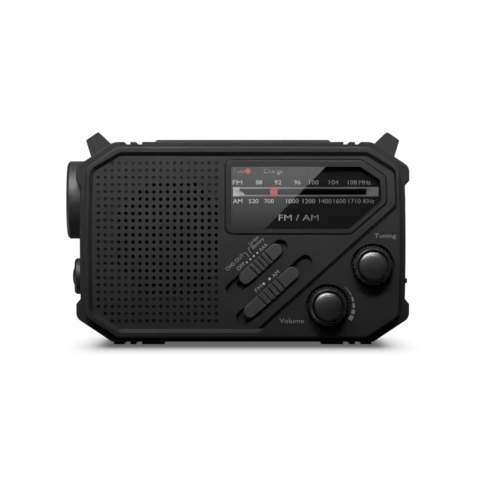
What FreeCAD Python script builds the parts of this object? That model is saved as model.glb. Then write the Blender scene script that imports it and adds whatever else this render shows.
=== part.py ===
import FreeCAD, Part
import Sketcher
import math
import os
from FreeCAD import Vector, Placement, Rotation

# Emergency radio with wind-up generator, torch and solar panel.
# Units are millimetres. +X right, +Y to the back, +Z up. The radio stands on
# its rubber feet at Z = 0, and the origin is under the middle of its box.
# Sub-parts are drawn in a body frame whose X = 0 is the case's centre line and
# whose Y = 0 is the front bezel plane, then placed with shift_x and shift_y.

doc = FreeCAD.newDocument("emergency_radio")
sheet = doc.addObject("Spreadsheet::Sheet", "Dims")

ROWS = [
    ("shift_x", 2.75), ("shift_y", -25.95),
    # depth stations of the case
    ("depth_case", 58.0), ("y_part", 29.0), ("y_panel", 2.0), ("panel_thick", 2.0),
    ("wall", 2.2), ("y_band_front", 4.0), ("y_band_back", 50.0),
    # case outline
    ("case_top", 103.0), ("case_bottom", 3.6), ("case_top_x", 65.4), ("case_bottom_x", 64.6),
    ("case_corner_x", 81.4), ("case_side_x", 82.9), ("case_upper_z", 92.5), ("case_lower_z", 14.5),
    ("band_top", 105.6), ("band_bottom", 1.35),
    # speaker field
    ("hole_pitch_x", 3.61), ("hole_pitch_z", 3.734), ("hole_radius", 0.95), ("dimple_depth", 0.85),
    ("speaker_x", -37.3), ("speaker_z", 55.0), ("speaker_radius", 28.5),
    # knobs
    ("tune_x", 67.6), ("tune_z", 41.0), ("vol_x", 44.25), ("vol_z", 19.9),
    ("knob_base_r", 10.6), ("knob_rim_r", 9.3), ("knob_cap_r", 7.9), ("well_r", 11.6), ("shaft_r", 3.0),
    ("shaft_clear", 0.08), ("drum_r", 4.0),
    # slide switches, both set at this angle
    ("slide_angle", 42.0), ("slide_r", 3.85), ("slider_r", 3.55), ("slider_front", 0.5),
    ("power_x", 7.28), ("power_z", 39.9), ("power_half", 16.5),
    ("band_x", 16.5), ("band_z", 28.5), ("band_half", 21.5),
    # torch and its button
    ("torch_z", 75.6), ("torch_r", 20.5), ("torch_front", -92.4),
    ("push_z", 35.3), ("push_r", 5.85), ("push_front", -89.9), ("collar_r", 9.5), ("collar_front", -88.7),
    # ports on the right
    ("cover_y0", 17.0), ("cover_y1", 41.0), ("cover_z0", 31.2), ("cover_z1", 77.9),
    ("cover_x0", 83.1), ("cover_x1", 85.5),
    ("jack_z", 67.0), ("jack_y", 29.3), ("jack_r", 1.8), ("usb_z", 44.0), ("micro_z", 57.0),
    # solar panel
    ("solar_half", 45.8), ("solar_y0", 12.0), ("solar_y1", 46.0), ("solar_top", 106.9),
    # crank
    ("crank_x", 28.0), ("crank_z", 52.0), ("crank_well_r", 35.5), ("crank_well_y", 48.5),
    ("gear_module", 0.7), ("grip_z", 21.5), ("grip_r", 4.0), ("grip_y", 53.6),
    # aerial
    ("aerial_x", 70.0), ("aerial_y", 54.0), ("aerial_z", 94.0), ("rebate_z", 88.8),
    ("aerial_len", 104.0),
    # cells and battery door
    ("cell_r", 5.25), ("cell_len", 44.5), ("liion_r", 9.2), ("liion_len", 65.0),
    ("door_x0", -70.5), ("door_x1", -17.0), ("door_z0", 27.5), ("door_z1", 64.5),
    # screws
    ("boss_r", 3.2), ("screw_r", 1.25), ("head_r", 2.6),
]
VAL = {}
for i, (alias, value) in enumerate(ROWS):
    sheet.set("A%d" % (i + 1), alias)
    sheet.set("B%d" % (i + 1), repr(float(value)))
    sheet.setAlias("B%d" % (i + 1), alias)
    VAL[alias] = float(value)
doc.recompute()


class Dim:
    """A number together with the sheet expression that gives it."""

    def __init__(self, v, t):
        self.v, self.t = float(v), t

    def __add__(self, o):
        o = wrap(o)
        return Dim(self.v + o.v, "(%s + %s)" % (self.t, o.t))

    def __radd__(self, o):
        return wrap(o) + self

    def __sub__(self, o):
        o = wrap(o)
        return Dim(self.v - o.v, "(%s - %s)" % (self.t, o.t))

    def __rsub__(self, o):
        return wrap(o) - self

    def __mul__(self, o):
        o = wrap(o)
        return Dim(self.v * o.v, "(%s * %s)" % (self.t, o.t))

    __rmul__ = __mul__

    def __truediv__(self, o):
        o = wrap(o)
        return Dim(self.v / o.v, "(%s / %s)" % (self.t, o.t))

    def __neg__(self):
        return Dim(-self.v, "(0 - %s)" % self.t)


def wrap(o):
    return o if isinstance(o, Dim) else Dim(o, "(%.6f)" % float(o) if float(o) < 0 else "%.6f" % float(o))


def d(alias):
    return Dim(VAL[alias], "Dims." + alias)


def n(v):
    return v.v if isinstance(v, Dim) else float(v)


NODES = []
COUNT = {}


def uid(name):
    COUNT[name] = COUNT.get(name, 0) + 1
    return "%s_%d" % (name, COUNT[name])


def bind(obj, prop, v):
    if isinstance(v, Dim) and "Dims." in v.t:
        obj.setExpression(prop, v.t)
    elif not prop.startswith("Placement"):
        setattr(obj, prop, n(v))


def place(obj, x, y, z, rot=None):
    obj.Placement = Placement(Vector(n(x), n(y), n(z)), rot or Rotation())
    for axis, v in (("x", x), ("y", y), ("z", z)):
        bind(obj, "Placement.Base." + axis, v)


def box(name, x0, x1, y0, y1, z0, z1):
    o = doc.addObject("Part::Box", uid(name))
    bind(o, "Length", x1 - x0)
    bind(o, "Width", y1 - y0)
    bind(o, "Height", z1 - z0)
    place(o, x0, y0, z0)
    return o


ALONG = {"x": Rotation(Vector(0, 1, 0), 90), "y": Rotation(Vector(1, 0, 0), -90), "z": Rotation()}


def cyl(name, axis, x, y, z, r, length):
    o = doc.addObject("Part::Cylinder", uid(name))
    bind(o, "Radius", r)
    bind(o, "Height", length)
    place(o, x, y, z, ALONG[axis])
    return o


def cone(name, axis, x, y, z, r1, r2, length):
    o = doc.addObject("Part::Cone", uid(name))
    bind(o, "Radius1", r1)
    bind(o, "Radius2", r2)
    bind(o, "Height", length)
    place(o, x, y, z, ALONG[axis])
    return o


def fuse(name, objs):
    o = doc.addObject("Part::MultiFuse", uid(name))
    o.Shapes = objs
    o.Refine = True
    return o


def group(name, objs):
    o = doc.addObject("Part::Compound", uid(name))
    o.Links = objs
    return o


def cut(name, base, tools):
    if not isinstance(tools, (list, tuple)):
        tools = [tools]
    tool = tools[0] if len(tools) == 1 else group(name + "_tools", tools)
    o = doc.addObject("Part::Cut", uid(name))
    o.Base, o.Tool = base, tool
    o.Refine = True
    return o


def common(name, a, b):
    o = doc.addObject("Part::Common", uid(name))
    o.Base, o.Tool = a, b
    return o


def raw(name, shape):
    o = doc.addObject("Part::Feature", uid(name))
    o.Shape = shape
    return o


def final(obj, label):
    """Gives a sub-part its name and moves it from the body frame to the part's frame."""
    p = obj.Placement
    exprs = {e[0].lstrip("."): e[1] for e in obj.ExpressionEngine}
    obj.Placement = Placement(p.Base + Vector(VAL["shift_x"], VAL["shift_y"], 0), p.Rotation)
    for axis, alias in (("x", "shift_x"), ("y", "shift_y")):
        key = "Placement.Base." + axis
        old = exprs.get(key, "%.6f" % getattr(p.Base, axis))
        obj.setExpression(key, "Dims.%s + (%s)" % (alias, old))
    obj.Label = label
    NODES.append((label, obj))
    return obj


# ---------------------------------------------------------------- outlines
def offset_poly(pts, dist):
    """Moves every side of a counter-clockwise outline outwards by dist."""
    out = []
    m = len(pts)
    for i in range(m):
        (ax, az), (bx, bz), (cx, cz) = pts[i - 1], pts[i], pts[(i + 1) % m]
        u = Vector(bx - ax, bz - az, 0).normalize()
        w = Vector(cx - bx, cz - bz, 0).normalize()
        nu, nw = Vector(u.y, -u.x, 0), Vector(w.y, -w.x, 0)
        k = dist / (1 + nu.dot(nw))
        out.append((bx + (nu.x + nw.x) * k, bz + (nu.y + nw.y) * k))
    return out


def offset_sides(pts, dists):
    """Moves side i (from point i to the next) outwards by dists[i]."""
    m = len(pts)
    lines = []
    for i in range(m):
        a, b = Vector(*pts[i], 0), Vector(*pts[(i + 1) % m], 0)
        u = (b - a).normalize()
        lines.append((a + Vector(u.y, -u.x, 0) * dists[i], u))
    out = []
    for i in range(m):
        (a, u), (b, w) = lines[i - 1], lines[i]
        k = ((b.x - a.x) * w.y - (b.y - a.y) * w.x) / (u.x * w.y - u.y * w.x)
        out.append((a.x + u.x * k, a.y + u.y * k))
    return out


def corners(pts, radii):
    """Outline as a list of ('line', p, q) and ('arc', p, q, centre, radius, left)."""
    m = len(pts)
    ends = []
    for i in range(m):
        p0, p1, p2 = (Vector(*pts[(i + k) % m], 0) for k in (-1, 0, 1))
        u, w = (p1 - p0).normalize(), (p2 - p1).normalize()
        turn = math.atan2(u.x * w.y - u.y * w.x, u.dot(w))
        r = radii[i]
        if r <= 0 or abs(turn) < 1e-4:
            ends.append((p1, p1, None, 0, True))
            continue
        t = r * math.tan(abs(turn) / 2)
        side = 1 if turn > 0 else -1
        a, b = p1 - u * t, p1 + w * t
        c = a + Vector(-u.y, u.x, 0) * (r * side)
        ends.append((a, b, c, r, turn > 0))
    segs = []
    for i in range(m):
        a, b, c, r, left = ends[i]
        if c is not None:
            segs.append(("arc", a, b, c, r, left))
        nxt = ends[(i + 1) % m][0]
        if (nxt - b).Length > 1e-6:
            segs.append(("line", b, nxt))
    return segs


def outline_sketch(name, pts, radii, y):
    """Closed sketch in a plane parallel to XZ, with its corners rounded."""
    sk = doc.addObject("Sketcher::SketchObject", uid(name))
    place(sk, 0, y, 0, Rotation(Vector(1, 0, 0), 90))
    segs = corners(pts, radii)
    for s in segs:
        if s[0] == "line":
            sk.addGeometry(Part.LineSegment(s[1], s[2]), False)
        else:
            _, a, b, c, r, left = s
            a0 = math.atan2(a.y - c.y, a.x - c.x)
            a1 = math.atan2(b.y - c.y, b.x - c.x)
            if not left:
                a0, a1 = a1, a0
            while a1 < a0:
                a1 += 2 * math.pi
            sk.addGeometry(Part.ArcOfCircle(Part.Circle(c, Vector(0, 0, 1), r), a0, a1), False)
    m = len(segs)
    for i, s in enumerate(segs):
        if s[0] == "arc":
            sk.addConstraint(Sketcher.Constraint("Block", i))
    for i, s in enumerate(segs):
        t = segs[(i + 1) % m]
        e0 = 1 if (s[0] == "arc" and not s[5]) else 2
        e1 = 2 if (t[0] == "arc" and not t[5]) else 1
        sk.addConstraint(Sketcher.Constraint("Coincident", i, e0, (i + 1) % m, e1))
    for i, s in enumerate(segs):
        if s[0] == "line" and segs[i - 1][0] == "line":
            sk.addConstraint(Sketcher.Constraint("DistanceX", -1, 1, i, 1, s[1].x))
            sk.addConstraint(Sketcher.Constraint("DistanceY", -1, 1, i, 1, s[1].y))
    return sk


def prism(name, pts, radii, y0, y1):
    if isinstance(radii, (int, float)):
        radii = [radii] * len(pts)
    sk = outline_sketch(name + "_outline", pts, radii, y0)
    ex = doc.addObject("Part::Extrusion", uid(name))
    ex.Base = sk
    ex.DirMode = "Custom"
    ex.Dir = Vector(0, 1, 0)
    bind(ex, "LengthFwd", y1 - y0)
    ex.Solid = True
    return ex


def wire(pts, radii, y):
    edges = []
    for s in corners(pts, radii):
        a, b = Vector(s[1].x, y, s[1].y), Vector(s[2].x, y, s[2].y)
        if s[0] == "line":
            edges.append(Part.makeLine(a, b))
        else:
            c = s[3]
            m = (s[1] + s[2]) * 0.5 - c
            m = c + m.normalize() * s[4]
            edges.append(Part.Arc(a, Vector(m.x, y, m.y), b).toShape())
    return Part.Wire(edges)


def obround_pts(cx, cz, half, r, angle):
    a = math.radians(angle)
    u, w = Vector(math.cos(a), math.sin(a), 0), Vector(-math.sin(a), math.cos(a), 0)
    c = Vector(cx, cz, 0)
    return [tuple((c + u * su * (half + r) + w * sw * r))[:2]
            for su, sw in ((1, 1), (-1, 1), (-1, -1), (1, -1))]


def obround(name, cx, cz, half, r, angle, y0, y1):
    return prism(name, obround_pts(cx, cz, half, r, angle), r - 0.001, y0, y1)


def turned(name, axis, profile, x, y, z):
    """Body turned about the Y or the X axis. The profile's points are (radius, y)
    for the Y axis and (x, radius) for the X axis, in the body frame."""
    body = doc.addObject("PartDesign::Body", uid(name))
    plane = [o for o in body.Origin.OriginFeatures if o.Role == "XY_Plane"][0]
    sk = body.newObject("Sketcher::SketchObject", uid(name + "_profile"))
    sk.AttachmentSupport = (plane, "")
    sk.MapMode = "FlatFace"
    m = len(profile)
    for i in range(m):
        a, b = profile[i], profile[(i + 1) % m]
        sk.addGeometry(Part.LineSegment(Vector(n(a[0]), n(a[1]), 0), Vector(n(b[0]), n(b[1]), 0)), False)
    for i in range(m):
        sk.addConstraint(Sketcher.Constraint("Coincident", i, 2, (i + 1) % m, 1))
    for i, p in enumerate(profile):
        for kind, v in (("DistanceX", p[0]), ("DistanceY", p[1])):
            k = sk.addConstraint(Sketcher.Constraint(kind, -1, 1, i, 1, n(v)))
            if isinstance(v, Dim) and "Dims." in v.t:
                sk.setExpression("Constraints[%d]" % k, v.t)
    rev = body.newObject("PartDesign::Revolution", uid(name + "_turn"))
    rev.Profile = sk
    rev.ReferenceAxis = (sk, ["V_Axis" if axis == "y" else "H_Axis"])
    rev.Angle = 360
    place(body, x, y, z)
    return body


CASE = [(VAL["case_top_x"], VAL["case_top"]), (-VAL["case_top_x"], VAL["case_top"]),
        (-VAL["case_corner_x"], VAL["case_upper_z"]), (-VAL["case_side_x"], 54.0),
        (-VAL["case_corner_x"], VAL["case_lower_z"]), (-VAL["case_bottom_x"], VAL["case_bottom"]),
        (VAL["case_bottom_x"], VAL["case_bottom"]), (VAL["case_corner_x"], VAL["case_lower_z"]),
        (VAL["case_side_x"], 54.0), (VAL["case_corner_x"], VAL["case_upper_z"])]
CASE_R = [8, 8, 6, 840, 6, 5, 5, 6, 840, 6]
INNER = offset_poly(CASE, -VAL["wall"])
INNER_R = [5.8, 5.8, 3.8, 838, 3.8, 2.8, 2.8, 3.8, 838, 3.8]
BAND = [(67.4, 105.6), (-67.4, 105.6), (-86.9, 92.7), (-86.9, 85.3), (-84.6, 82.8), (-85.3, 53.4),
        (-84.6, 23.7), (-86.8, 21.1), (-86.8, 13.7), (-68.2, 1.35), (68.2, 1.35), (86.8, 13.7),
        (86.8, 21.1), (84.6, 23.7), (85.3, 53.4), (84.6, 82.8), (86.9, 85.3), (86.9, 92.7)]
BAND_R = [8, 8, 5, 0.8, 0.8, 1080, 0.8, 0.8, 5, 3, 3, 5, 0.8, 0.8, 1080, 0.8, 0.8, 5]
PANEL = [(64.6, 98.2), (-63.6, 98.2), (-77.8, 89.75), (-79.0, 54.4), (-77.8, 16.85), (-63.9, 8.2),
         (7.75, 8.2), (79.35, 72.6), (78.8, 89.4)]
PANEL_R = [2, 2, 4.5, 900, 4.5, 2, 3, 3, 4]
# reach past the panel's edge, side by side: sloped rim above, left and below, and an
# upright channel along the diagonal and the right side
RIM = [2.6, 2.6, 2.6, 2.6, 2.6, 2.6, 2.0, 1.0, 2.6]
FOOT = [-0.02, -0.02, -0.02, -0.02, -0.02, -0.02, 2.0, 1.0, -0.02]
CHANNEL = [-0.5, -0.5, -0.5, -0.5, -0.5, -0.5, 2.0, 1.0, -0.5]
LIP = [1.5, 1.5, 1.5, 1.5, 1.5, 1.5, 2.5, 0.45, 1.5]
BEZEL = [(62.0, 96.1), (-9.1, 96.1), (-9.1, 57.5), (56.6, 57.5), (75.2, 73.9), (74.4, 87.7)]
BEZEL_R = [3, 4, 4, 3, 3, 3]
LENS = [(61.4, 92.6), (-5.9, 92.6), (-5.9, 60.2), (55.8, 60.2), (72.3, 75.0), (71.6, 85.7)]
LENS_R = [1.6, 1.2, 1.2, 1.6, 1.6, 1.6]
SCREWS = [(-60, 98), (2, 98), (60, 98), (-66, 9.6), (8, 8.6), (60, 8.6)]
ANG = VAL["slide_angle"]


def torch_hole(name, extra=0.05):
    return fuse(name, [cyl(name + "_seat", "x", -96, d("y_part"), d("torch_z"), d("torch_r") + extra, 96 - 79.3),
                       cyl(name + "_throat", "x", -96, d("y_part"), d("torch_z"), 17.95, 96 - 76.6)])


def collar_hole(name, extra=0.05):
    return cyl(name, "x", -96, d("y_part"), d("push_z"), d("collar_r") + extra, 96 - 80.0 + 2.5)


def jack_hole(name):
    return cyl(name, "x", 79, d("jack_y"), d("jack_z"), d("jack_r") + 0.9, 8)


# ---------------------------------------------------------------- front housing
front_block = prism("front_block", CASE, CASE_R, 0, d("y_part"))
doc.recompute()
edge_front = doc.addObject("Part::Fillet", uid("front_edge"))
edge_front.Base = front_block
edge_front.Edges = [(i + 1, 1.0, 1.0) for i, e in enumerate(front_block.Shape.Edges)
                    if e.BoundBox.YMax < 0.01]
front_cavity = prism("front_cavity", INNER, INNER_R, d("y_panel"), d("y_part") + 1)
panel_hole = raw("panel_opening", Part.makeLoft(
    [wire(offset_sides(PANEL, RIM), [r + 2.2 for r in PANEL_R], -0.6),
     wire(offset_sides(PANEL, FOOT), PANEL_R, VAL["y_panel"] + 0.02)], True, True))
channel = prism("panel_channel", offset_sides(PANEL, CHANNEL), PANEL_R, -1, 2.9)
front_shell = cut("front_shell", edge_front, [front_cavity, panel_hole, channel])
cups = [cyl("knob_cup", "y", d(a + "_x"), 0.5, d(a + "_z"), 12.9, 3.7) for a in ("tune", "vol")]
bosses = [cyl("front_boss", "y", x, 5.8, z, d("boss_r"), d("y_part") - 5.8) for x, z in SCREWS]
boss_trim = common("front_bosses", group("boss_set", bosses), prism("boss_limit", CASE, CASE_R, 0.5, d("y_part")))
front_full = fuse("front_full", [front_shell, boss_trim] + cups)
wells = [cyl("knob_well", "y", d(a + "_x"), -1, d(a + "_z"), d("well_r"), 3.6) for a in ("tune", "vol")]
shafts = [cyl("shaft_hole", "y", d(a + "_x"), 2, d(a + "_z"), d("shaft_r") + d("shaft_clear"), 4) for a in ("tune", "vol")]
pilots = [cyl("pilot_hole", "y", x, 10, z, d("screw_r"), 25) for x, z in SCREWS]
ports = [box("usb_hole", 79, 86, 26.5, 34, d("usb_z") - 7, d("usb_z") + 7),
         box("micro_hole", 79, 86, 26.5, 30, d("micro_z") - 4.2, d("micro_z") + 4.2)]
front_housing = cut("front_housing", front_full, wells + shafts + pilots + ports +
                    [torch_hole("torch_hole"), collar_hole("collar_hole"), jack_hole("jack_hole")])
final(front_housing, "front_housing")

# ---------------------------------------------------------------- front panel with the speaker grille
COLS = [-75.2 + VAL["hole_pitch_x"] * i for i in range(18)]
ROWZ = [94.4 - VAL["hole_pitch_z"] * j for j in range(23)]
OPEN = {3: (7, 14), 4: (6, 15), 5: (5, 16), 6: (4, 17), 15: (4, 17), 16: (5, 16), 17: (6, 15), 18: (7, 14)}
for j in range(7, 15):
    OPEN[j] = (3, 17)
START = {0: 2, 22: 2, 1: 1, 21: 1}


def hole_wire(x, z, y, r):
    return Part.Wire([Part.makeCircle(r, Vector(x, y, z), Vector(0, 1, 0))])


y0, y1, yt = VAL["y_panel"], VAL["y_panel"] + VAL["dimple_depth"], VAL["y_panel"] + VAL["panel_thick"]
through, blind = [], []
for j, z in enumerate(ROWZ):
    for i, x in enumerate(COLS):
        if i < START.get(j, 0):
            continue
        lo, hi = OPEN.get(j, (99, 0))
        (through if lo <= i <= hi else blind).append((x, z))
slots = [(VAL["power_x"], VAL["power_z"], VAL["power_half"]), (VAL["band_x"], VAL["band_z"], VAL["band_half"])]


def panel_layer(ya, yb, spots):
    holes = [hole_wire(x, z, ya, VAL["hole_radius"]) for x, z in spots]
    holes.append(wire(offset_poly(BEZEL, 0.4), [r + 0.4 for r in BEZEL_R], ya))
    for cx, cz, half in slots:
        holes.append(wire(obround_pts(cx, cz, half, VAL["slide_r"], ANG), [VAL["slide_r"] - 0.001] * 4, ya))
    face = Part.Face([wire(PANEL, PANEL_R, ya)] + holes, "Part::FaceMakerBullseye")
    return face.extrude(Vector(0, yb - ya, 0))


lip = Part.Face([wire(offset_sides(PANEL, LIP), [r + 0.5 for r in PANEL_R], 2.9), wire(offset_poly(PANEL, -0.5), [max(r - 0.5, 1) for r in PANEL_R], 2.9)],
                "Part::FaceMakerBullseye").extrude(Vector(0, 1.1, 0))
inner_limit = Part.Face(wire(offset_poly(INNER, -0.08), [r - 0.08 for r in INNER_R], 3.0)).extrude(Vector(0, 3, 0))
panel_shape = panel_layer(y0, y1, through + blind).fuse([panel_layer(y1, yt, through), lip.common(inner_limit)]).removeSplitter()
front_panel = raw("front_panel", panel_shape)
final(front_panel, "front_panel")

# ---------------------------------------------------------------- display
bezel_front = prism("bezel_front", BEZEL, BEZEL_R, 2.2, 5.7)
doc.recompute()
bezel_edge = doc.addObject("Part::Fillet", uid("bezel_edge"))
bezel_edge.Base = bezel_front
bezel_edge.Edges = [(i + 1, 0.7, 0.7) for i, e in enumerate(bezel_front.Shape.Edges) if e.BoundBox.YMax < 2.21]
bezel_ring = cut("display_bezel", fuse("bezel_body", [
    bezel_edge,
    prism("bezel_flange", offset_poly(BEZEL, 1.4), 4, d("y_panel") + d("panel_thick"), 5.7)]),
    prism("lens_opening", LENS, LENS_R, 2, 6))
final(bezel_ring, "display_bezel")
final(prism("display_lens", offset_poly(LENS, -0.02), LENS_R, 2.8, 4.0), "display_lens")
dial_plate = cut("dial_plate", prism("dial_sheet", offset_poly(LENS, -0.02), LENS_R, 4.9, 5.7),
                 [box("pointer_slot", -1.56, 64.4, 4.5, 6, 77.95, 81.1),
                  cyl("led_hole", "y", 2.65, 4.5, 90.3, 1.5, 2)])
final(dial_plate, "dial_plate")
final(turned("tune_led", "y", [(0, 4.2), (0.8, 4.35), (1.25, 4.75), (1.45, 5.3), (1.45, 8.2), (1.9, 8.2), (1.9, 9.2), (0, 9.2)],
             2.65, 0, 90.3), "tune_led")
pointer = fuse("dial_pointer", [
    box("pointer_flag", 14.3, 18.1, 4.3, 4.65, 77.2, 82.0),
    box("pointer_stem", 15.2, 17.2, 4.65, 5.9, 78.5, 80.6),
    box("pointer_shoe", 14.3, 18.1, 5.8, 6.45, 77.2, 82.0),
    box("pointer_jaw", 16.4, 17.4, 6.4, 8.2, 79.0, 79.75),
    box("pointer_jaw", 16.4, 17.4, 6.4, 8.2, 80.65, 81.4)])
final(pointer, "dial_pointer")

# ---------------------------------------------------------------- rubber band round the case
def notch_boxes():
    out = []
    for s in (-1, 1):
        for a, b in ((52.5, 55.7), (58.6, 61.8)):
            lo, hi = sorted((s * a, s * b))
            out.append(box("notch", lo, hi, 0, 60, d("band_top") - 1.3, 110))
    return out


def lug_points(s, low):
    base = [(68.8, 104.4), (75.9, 111.2), (82.3, 106.8), (79.5, 97.6)]
    inner_dir = (base[1][0] - base[0][0], base[1][1] - base[0][1])
    outer_dir = (base[2][0] - base[3][0], base[2][1] - base[3][1])
    nx, nz = 0.5506, 0.8347
    ki = low / (inner_dir[0] * nx + inner_dir[1] * nz)
    ko = low / (outer_dir[0] * nx + outer_dir[1] * nz)
    a = (base[0][0] - inner_dir[0] * ki, base[0][1] - inner_dir[1] * ki)
    b = (base[3][0] - outer_dir[0] * ko, base[3][1] - outer_dir[1] * ko)
    pts = [a, b, base[2], base[1]]
    return pts if s > 0 else [(-x, z) for x, z in reversed(pts)]


def lug_block(name, s, y0, y1, low):
    return prism(name, lug_points(s, low), [0, 0, 0.9, 0.9] if s > 0 else [0.9, 0.9, 0, 0], y0, y1)


def port_window(name):
    return box(name, 82, 90, d("cover_y0") - 0.4, d("cover_y1") + 0.4, d("cover_z0") - 0.4, d("cover_z1") + 0.45)


def band_half(label, ya, yb, front):
    block = prism(label + "_outer", BAND, BAND_R, ya, yb)
    doc.recompute()
    outer = doc.addObject("Part::Fillet", uid(label + "_edge"))
    outer.Base = block
    outer.Edges = [(i + 1, 0.7, 0.7) for i, e in enumerate(block.Shape.Edges)
                   if (e.BoundBox.YMax < n(ya) + 0.01 if front else e.BoundBox.YMin > n(yb) - 0.01)]
    tools = [prism(label + "_inner", CASE, CASE_R, ya - 1, yb + 1), torch_hole(label + "_torch"),
             collar_hole(label + "_collar"), port_window(label + "_ports"),
             box(label + "_solar", -d("solar_half") - 0.1, d("solar_half") + 0.1, d("solar_y0") - 0.1, d("solar_y1") + 0.1, 100, 112)]
    tools += notch_boxes() + [lug_block(label + "_lug", s, 15.95, 42.05, 4) for s in (1, -1)]
    final(cut(label, outer, tools), label)


band_half("front_bumper", d("y_band_front"), d("y_part"), True)
band_half("rear_bumper", d("y_part"), d("y_band_back"), False)

# strap lugs, each with a slot for webbing that runs along the corner's slope
for s, nm in ((-1, "strap_lug_left"), (1, "strap_lug_right")):
    block = lug_block(nm + "_block", s, 16, 42, 0.3)
    seat = prism(nm + "_seat", CASE, CASE_R, 15, 43)
    slot = doc.addObject("Part::Box", uid(nm + "_slot"))
    slot.Length, slot.Width, slot.Height = 40, 18, 5.9
    tilt = math.degrees(math.atan2(12.9, 19.5))
    ux, uz = math.cos(math.radians(tilt)), -math.sin(math.radians(tilt))
    nx, nz = -uz, ux
    px, pz = 67.4 + nx * 1.0 - ux * 5, 105.6 + nz * 1.0 - uz * 5
    if s > 0:
        slot.Placement = Placement(Vector(px, 20, pz), Rotation(Vector(0, 1, 0), tilt))
    else:
        ex, ez = px + ux * 40, pz + uz * 40
        slot.Placement = Placement(Vector(-ex, 20, ez), Rotation(Vector(0, 1, 0), -tilt))
    final(cut(nm, block, [seat, slot]), nm)

# feet, with the two cross grooves that line up with the notches in the band
feet = []
for s in (-1, 1):
    for a, b in ((41.0, 52.5), (55.7, 58.6), (61.8, 67.2)):
        for ya, yb in ((6, 22), (35, 49)):
            lo, hi = sorted((s * a, s * b))
            feet.append(box("foot", lo, hi, ya, yb, 0, d("band_bottom")))
final(group("rubber_feet", feet), "rubber_feet")

# ---------------------------------------------------------------- rear housing
rear_block = prism("rear_block", CASE, CASE_R, d("y_part"), d("depth_case"))
doc.recompute()
edge_rear = doc.addObject("Part::Fillet", uid("rear_edge"))
edge_rear.Base = rear_block
edge_rear.Edges = [(i + 1, 2.5, 2.5) for i, e in enumerate(rear_block.Shape.Edges)
                   if e.BoundBox.YMin > VAL["depth_case"] - 0.01]
rear_cavity = prism("rear_cavity", INNER, INNER_R, d("y_part") - 1, d("depth_case") - 2.2)
rear_shell = cut("rear_shell", edge_rear, [rear_cavity])
rear_adds = [cyl("crank_cup", "y", d("crank_x"), d("crank_well_y") - 1.8, d("crank_z"), d("crank_well_r") + 1.5,
                 d("depth_case") - d("crank_well_y") + 0.8),
             box("rebate_step", -84, 80, 47.8, d("depth_case") - 1, d("rebate_z") - 2, 101.5),
             box("battery_tray", d("door_x0"), d("door_x1"), 42.7, d("depth_case") - 1, d("door_z0"), d("door_z1"))]
rear_bosses = [cyl("rear_boss", "y", x, d("y_part"), z, d("boss_r"), d("depth_case") - d("y_part") - 1) for x, z in SCREWS]
# one common shape for all inner walls, cut back to the case's outline
rear_walls = common("rear_walls", fuse("rear_adds", rear_adds + rear_bosses),
                   prism("rear_limit", offset_poly(CASE, -0.6), [r - 0.6 if r > 100 else max(r - 0.6, 1) for r in CASE_R],
                         d("y_part"), d("depth_case") - 0.7))
rear_full = fuse("rear_full", [rear_shell, rear_walls])
rear_cuts = [cyl("crank_well", "y", d("crank_x"), d("crank_well_y"), d("crank_z"), d("crank_well_r"), 12),
             cyl("crank_bore", "y", d("crank_x"), 44, d("crank_z"), d("shaft_r") + d("shaft_clear"), 6),
             box("rebate", -90, 78, d("y_band_back"), 60, d("rebate_z"), 110),
             box("battery_bay", d("door_x0") + 1.5, d("door_x1") - 1.5, 44.2, 60, d("door_z0") + 1.5, d("door_z1") - 1.5),
             box("door_seat", d("door_x0") - 0.35, d("door_x1") + 0.35, 56.0, 60, d("door_z0") - 0.35, d("door_z1") + 0.35)]
rear_cuts += [cyl("screw_hole", "y", x, 28, z, 1.6, 32) for x, z in SCREWS]
rear_cuts += [cyl("screw_head_seat", "y", x, 47.5 if z > 50 else 50, z, 2.8, 12) for x, z in SCREWS]
rear_cuts += [torch_hole("rear_torch"), collar_hole("rear_collar"), jack_hole("rear_jack"),
              box("rear_usb", 79, 86, 26.5, 34, d("usb_z") - 7, d("usb_z") + 7),
              box("rear_micro", 79, 86, 26.5, 30, d("micro_z") - 4.2, d("micro_z") + 4.2),
              cyl("aerial_bore", "y", d("aerial_x"), 45, d("aerial_z"), 2.06, 8)]
final(cut("rear_housing", rear_full, rear_cuts), "rear_housing")

screws = []
for x, z in SCREWS:
    yh = 47.5 if z > 50 else 50
    head = cyl("screw_head", "y", x, yh, z, d("head_r"), 1.6)
    shank = cyl("screw_shank", "y", x, 12, z, d("screw_r"), yh - 12)
    slot_a = box("drive_slot", x - 1.6, x + 1.6, yh + 0.8, yh + 2, z - 0.3, z + 0.3)
    slot_b = box("drive_slot", x - 0.3, x + 0.3, yh + 0.8, yh + 2, z - 1.6, z + 1.6)
    screws.append(cut("screw", fuse("screw_blank", [head, shank]), [slot_a, slot_b]))
final(group("housing_screws", screws), "housing_screws")

# ---------------------------------------------------------------- solar panel
solar_frame = cut("solar_frame", box("solar_tray", -d("solar_half"), d("solar_half"), d("solar_y0"), d("solar_y1"), d("case_top"), d("solar_top")),
                  [box("solar_pocket", -d("solar_half") + 2.4, d("solar_half") - 2.4, d("solar_y0") + 2.4, d("solar_y1") - 2.4, d("solar_top") - 1.8, 110)])
doc.recompute()
solar_edge = doc.addObject("Part::Chamfer", uid("solar_edge"))
solar_edge.Base = solar_frame
solar_edge.Edges = [(i + 1, 0.9, 0.9) for i, e in enumerate(solar_frame.Shape.Edges)
                    if e.BoundBox.ZMin > VAL["solar_top"] - 0.01 and
                    (e.BoundBox.XLength > 90 or e.BoundBox.YLength > 33)]
final(solar_edge, "solar_frame")
final(box("solar_panel", -d("solar_half") + 2.45, d("solar_half") - 2.45, d("solar_y0") + 2.45, d("solar_y1") - 2.45,
          d("solar_top") - 1.8, d("solar_top") - 0.4), "solar_panel")

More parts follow.
